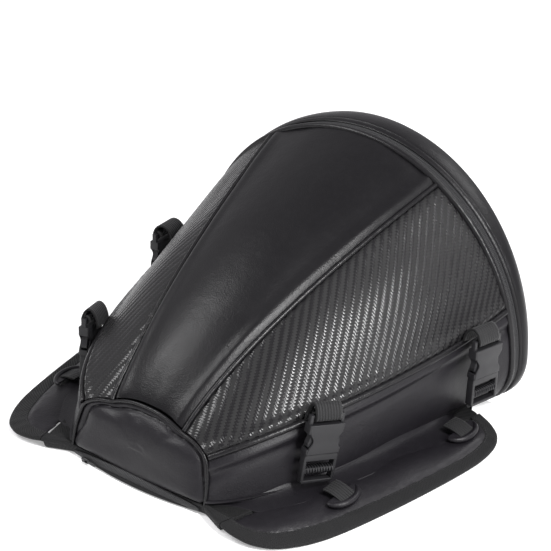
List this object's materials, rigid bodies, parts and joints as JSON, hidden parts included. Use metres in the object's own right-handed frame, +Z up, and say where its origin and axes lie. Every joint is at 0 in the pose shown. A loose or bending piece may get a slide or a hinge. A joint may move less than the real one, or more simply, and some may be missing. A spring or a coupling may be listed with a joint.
{
  "type": "motorcycle tail bag",
  "caption": "Hump-shaped motorcycle tail bag with a pointed nose, a D-shaped rear door on a zip, folding side wings and side-release buckles on webbing tabs.",
  "frame": {"origin": "on the underside of the base panel, on the bag's centre line, under the middle of the bag", "axes": "+X to the right across the bag, +Y along the bag towards the rear door, +Z up from the base"},
  "size_m": [0.4136, 0.3744, 0.2283],
  "materials": {
    "smooth_leather": "satin coated leather-look fabric",
    "carbon_leather": "embossed carbon-weave coated fabric, satin",
    "piping": "satin coated fabric rolled round a cord",
    "webbing": "matte woven webbing",
    "buckle_plastic": "moulded, slightly satin",
    "zip_tape": "matte woven tape",
    "zip_metal": "black enamelled die-cast metal",
    "lining": "matte coated lining cloth",
    "stiffener": "plain sheet"
  },
  "bodies": {
    "bag": {"top_panel": "smooth_leather", "side_panel_right": "carbon_leather", "side_panel_left": "carbon_leather", "lower_band_right": "smooth_leather", "lower_band_left": "smooth_leather", "nose_panel": "smooth_leather", "base_panel": "smooth_leather", "base_board": "stiffener", "liner": "lining", "nose_piping": "piping", "rim_piping": "piping", "upper_seam_welt_right": "piping", "upper_seam_welt_left": "piping", "lower_seam_welt_right": "piping", "lower_seam_welt_left": "piping", "main_zip_bag_side": "zip_tape", "nose_pocket_zip": "zip_tape", "hinge_strip": "lining", "stay_strap_right": "webbing", "stay_strap_left": "webbing"},
    "door": {"door_wall": "smooth_leather", "door_piping": "piping", "door_panel": "smooth_leather", "door_board": "stiffener", "door_lining": "lining", "main_zip_door_side": "zip_tape", "door_pocket_zip": "zip_tape", "carry_handle": "webbing"},
    "main_slider": {"main_zip_slider": "zip_metal"},
    "main_pull": {"main_zip_pull": "zip_metal"},
    "nose_slider": {"nose_zip_slider": "zip_metal"},
    "pocket_slider": {"door_pocket_slider": "zip_metal"},
    "wing_right": {"wing_pad_right": "smooth_leather", "wing_binding_right": "zip_tape", "wing_tie_front_right": "smooth_leather", "wing_tie_rear_right": "smooth_leather"},
    "wing_left": {"wing_pad_left": "smooth_leather", "wing_binding_left": "zip_tape", "wing_tie_front_left": "smooth_leather", "wing_tie_rear_left": "smooth_leather"},
    "tab_front_right": {"webbing_tab_front_right": "webbing"},
    "socket_front_right": {"buckle_female_front_right": "buckle_plastic"},
    "clip_front_right": {"buckle_male_front_right": "buckle_plastic"},
    "prong_front_right_a": {"buckle_prong_front_right_a": "buckle_plastic"},
    "prong_front_right_b": {"buckle_prong_front_right_b": "buckle_plastic"},
    "tab_front_left": {"webbing_tab_front_left": "webbing"},
    "socket_front_left": {"buckle_female_front_left": "buckle_plastic"},
    "clip_front_left": {"buckle_male_front_left": "buckle_plastic"},
    "prong_front_left_a": {"buckle_prong_front_left_a": "buckle_plastic"},
    "prong_front_left_b": {"buckle_prong_front_left_b": "buckle_plastic"},
    "tab_rear_right": {"webbing_tab_rear_right": "webbing"},
    "socket_rear_right": {"buckle_female_rear_right": "buckle_plastic"},
    "clip_rear_right": {"buckle_male_rear_right": "buckle_plastic"},
    "prong_rear_right_a": {"buckle_prong_rear_right_a": "buckle_plastic"},
    "prong_rear_right_b": {"buckle_prong_rear_right_b": "buckle_plastic"},
    "tab_rear_left": {"webbing_tab_rear_left": "webbing"},
    "socket_rear_left": {"buckle_female_rear_left": "buckle_plastic"},
    "clip_rear_left": {"buckle_male_rear_left": "buckle_plastic"},
    "prong_rear_left_a": {"buckle_prong_rear_left_a": "buckle_plastic"},
    "prong_rear_left_b": {"buckle_prong_rear_left_b": "buckle_plastic"}
  },
  "joints": [
    {"name": "door_hinge", "type": "hinge", "parent": "bag", "child": "door", "pos_m": [0, 0.15165, 0.007], "axis": [-1, 0, 0], "range_deg": [0, 95], "deforming": ["hinge_strip", "stay_strap_right", "stay_strap_left"]},
    {"name": "wing_fold_right", "type": "hinge", "parent": "bag", "child": "wing_right", "pos_m": [0.1015, -0.1625, 0.007], "axis": [0.2375, 0.9714, 0], "range_deg": [0, 70]},
    {"name": "wing_fold_left", "type": "hinge", "parent": "bag", "child": "wing_left", "pos_m": [-0.1015, -0.1625, 0.007], "axis": [0.2375, -0.9714, 0], "range_deg": [0, 70]},
    {"name": "main_zip_travel", "type": "hinge", "parent": "bag", "child": "main_slider", "pos_m": [0, 0.1516, 0.047], "axis": [0, 1, 0], "range_deg": [0, 174]},
    {"name": "main_pull_swing", "type": "hinge", "parent": "main_slider", "child": "main_pull", "pos_m": [-0.18305, 0.1516, 0.05659], "axis": [0, 1, 0], "range_deg": [0, 120]},
    {"name": "nose_zip_slide", "type": "slide", "parent": "bag", "child": "nose_slider", "axis": [1, 0, 0], "range_m": [0, 0.108]},
    {"name": "door_pocket_slide", "type": "slide", "parent": "door", "child": "pocket_slider", "axis": [0.976, -0.0171, -0.2169], "range_m": [0, 0.148]},
    {"name": "tab_bend_front_right", "type": "hinge", "parent": "bag", "child": "tab_front_right", "pos_m": [0.13439, -0.0668, 0.07748], "axis": [-0.3688, -0.9097, 0.1908], "range_deg": [0, 100], "deforming": ["webbing_tab_front_right"]},
    {"name": "buckle_swing_front_right", "type": "hinge", "parent": "tab_front_right", "child": "socket_front_right", "pos_m": [0.13439, -0.0668, 0.07748], "axis": [-0.3688, -0.9097, 0.1908], "range_deg": [0, 70]},
    {"name": "buckle_release_front_right", "type": "slide", "parent": "socket_front_right", "child": "clip_front_right", "axis": [-0.0717, -0.1768, -0.9816], "range_m": [0, 0.024], "deforming": ["buckle_prong_front_right_a", "buckle_prong_front_right_b"]},
    {"name": "prong_press_front_right_a", "type": "hinge", "parent": "clip_front_right", "child": "prong_front_right_a", "pos_m": [0.12889, -0.08036, 0.04834], "axis": [-0.9267, 0.3757, 0], "range_deg": [0, 12], "stiffness_Nm_per_rad": 0.02},
    {"name": "prong_press_front_right_b", "type": "hinge", "parent": "clip_front_right", "child": "prong_front_right_b", "pos_m": [0.13538, -0.06435, 0.04498], "axis": [0.9267, -0.3757, 0], "range_deg": [0, 12], "stiffness_Nm_per_rad": 0.02},
    {"name": "tab_bend_front_left", "type": "hinge", "parent": "bag", "child": "tab_front_left", "pos_m": [-0.13657, -0.06138, 0.07679], "axis": [-0.361, 0.9221, -0.1392], "range_deg": [0, 100], "deforming": ["webbing_tab_front_left"]},
    {"name": "buckle_swing_front_left", "type": "hinge", "parent": "tab_front_left", "child": "socket_front_left", "pos_m": [-0.13657, -0.06138, 0.07679], "axis": [-0.361, 0.9221, -0.1392], "range_deg": [0, 70]},
    {"name": "buckle_release_front_left", "type": "slide", "parent": "socket_front_left", "child": "clip_front_left", "axis": [0.0507, -0.1296, -0.9903], "range_m": [0, 0.024], "deforming": ["buckle_prong_front_left_a", "buckle_prong_front_left_b"]},
    {"name": "prong_press_front_left_a", "type": "hinge", "parent": "clip_front_left", "child": "prong_front_left_a", "pos_m": [-0.13815, -0.05733, 0.04447], "axis": [0.9312, 0.3646, 0], "range_deg": [0, 12], "stiffness_Nm_per_rad": 0.02},
    {"name": "prong_press_front_left_b", "type": "hinge", "parent": "clip_front_left", "child": "prong_front_left_b", "pos_m": [-0.1318, -0.07356, 0.04692], "axis": [-0.9312, -0.3646, 0], "range_deg": [0, 12], "stiffness_Nm_per_rad": 0.02},
    {"name": "tab_bend_rear_right", "type": "hinge", "parent": "bag", "child": "tab_rear_right", "pos_m": [0.18142, 0.09359, 0.09608], "axis": [-0.1719, -0.9837, 0.0523], "range_deg": [0, 100], "deforming": ["webbing_tab_rear_right"]},
    {"name": "buckle_swing_rear_right", "type": "hinge", "parent": "tab_rear_right", "child": "socket_rear_right", "pos_m": [0.18142, 0.09359, 0.09608], "axis": [-0.1719, -0.9837, 0.0523], "range_deg": [0, 70]},
    {"name": "buckle_release_rear_right", "type": "slide", "parent": "socket_rear_right", "child": "clip_rear_right", "axis": [-0.009, -0.0516, -0.9986], "range_m": [0, 0.024], "deforming": ["buckle_prong_rear_right_a", "buckle_prong_rear_right_b"]},
    {"name": "prong_press_rear_right_a", "type": "hinge", "parent": "clip_rear_right", "child": "prong_rear_right_a", "pos_m": [0.17962, 0.08331, 0.06518], "axis": [-0.9851, 0.1721, 0], "range_deg": [0, 12], "stiffness_Nm_per_rad": 0.02},
    {"name": "prong_press_rear_right_b", "type": "hinge", "parent": "clip_rear_right", "child": "prong_rear_right_b", "pos_m": [0.18265, 0.10063, 0.06426], "axis": [0.9851, -0.1721, 0], "range_deg": [0, 12], "stiffness_Nm_per_rad": 0.02},
    {"name": "tab_bend_rear_left", "type": "hinge", "parent": "bag", "child": "tab_rear_left", "pos_m": [-0.18313, 0.08616, 0.09395], "axis": [-0.1787, 0.9825, -0.0523], "range_deg": [0, 100], "deforming": ["webbing_tab_rear_left"]},
    {"name": "buckle_swing_rear_left", "type": "hinge", "parent": "tab_rear_left", "child": "socket_rear_left", "pos_m": [-0.18313, 0.08616, 0.09395], "axis": [-0.1787, 0.9825, -0.0523], "range_deg": [0, 70]},
    {"name": "buckle_release_rear_left", "type": "slide", "parent": "socket_rear_left", "child": "clip_rear_left", "axis": [0.0094, -0.0515, -0.9986], "range_m": [0, 0.024], "deforming": ["buckle_prong_rear_left_a", "buckle_prong_rear_left_b"]},
    {"name": "prong_press_rear_left_a", "type": "hinge", "parent": "clip_rear_left", "child": "prong_rear_left_a", "pos_m": [-0.18441, 0.09319, 0.06213], "axis": [0.9839, 0.179, 0], "range_deg": [0, 12], "stiffness_Nm_per_rad": 0.02},
    {"name": "prong_press_rear_left_b", "type": "hinge", "parent": "clip_rear_left", "child": "prong_rear_left_b", "pos_m": [-0.18126, 0.0759, 0.06305], "axis": [-0.9839, -0.179, 0], "range_deg": [0, 12], "stiffness_Nm_per_rad": 0.02}
  ],
  "couplings": [
    {"joint": "tab_bend_front_right", "follows": "buckle_release_front_right", "rad_per_m": 72.722},
    {"joint": "prong_press_front_right_b", "follows": "prong_press_front_right_a", "ratio": 1},
    {"joint": "tab_bend_front_left", "follows": "buckle_release_front_left", "rad_per_m": 72.722},
    {"joint": "prong_press_front_left_b", "follows": "prong_press_front_left_a", "ratio": 1},
    {"joint": "tab_bend_rear_right", "follows": "buckle_release_rear_right", "rad_per_m": 72.722},
    {"joint": "prong_press_rear_right_b", "follows": "prong_press_rear_right_a", "ratio": 1},
    {"joint": "tab_bend_rear_left", "follows": "buckle_release_rear_left", "rad_per_m": 72.722},
    {"joint": "prong_press_rear_left_b", "follows": "prong_press_rear_left_a", "ratio": 1}
  ]
}
